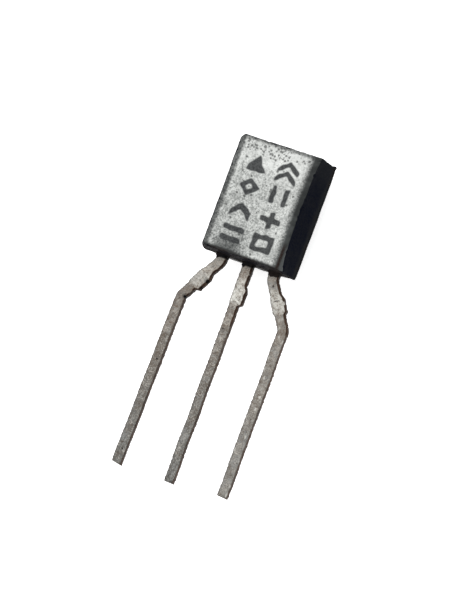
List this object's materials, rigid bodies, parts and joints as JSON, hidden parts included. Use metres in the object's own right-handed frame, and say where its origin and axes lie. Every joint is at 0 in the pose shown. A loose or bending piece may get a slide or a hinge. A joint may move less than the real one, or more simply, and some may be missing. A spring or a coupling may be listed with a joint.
{
  "type": "to-92 transistor",
  "caption": "Small-signal transistor with a D-section moulded epoxy body and flat tinned leads splayed to a wide hole pitch.",
  "frame": {"origin": "middle of the bounding box in X and Y, on the plane that the round back rests on; X = 0 is the middle lead's centre line", "axes": "+X across the marking face to the right as it is read from the front with the leads down, +Y along the leads from their tips to the body's top, +Z out of the marking face"},
  "size_m": [0.0054, 0.0158, 0.0039],
  "materials": {
    "epoxy": "satin",
    "tinned_strip": "satin",
    "silicon": "gloss",
    "solder": "satin",
    "gold_wire": "polished"
  },
  "bodies": {
    "root": {"moulded_body": "epoxy", "collector_lead": "tinned_strip", "base_lead": "tinned_strip", "emitter_lead": "tinned_strip", "silicon_die": "silicon", "die_solder": "solder", "base_wire": "gold_wire", "emitter_wire": "gold_wire"}
  },
  "joints": []
}
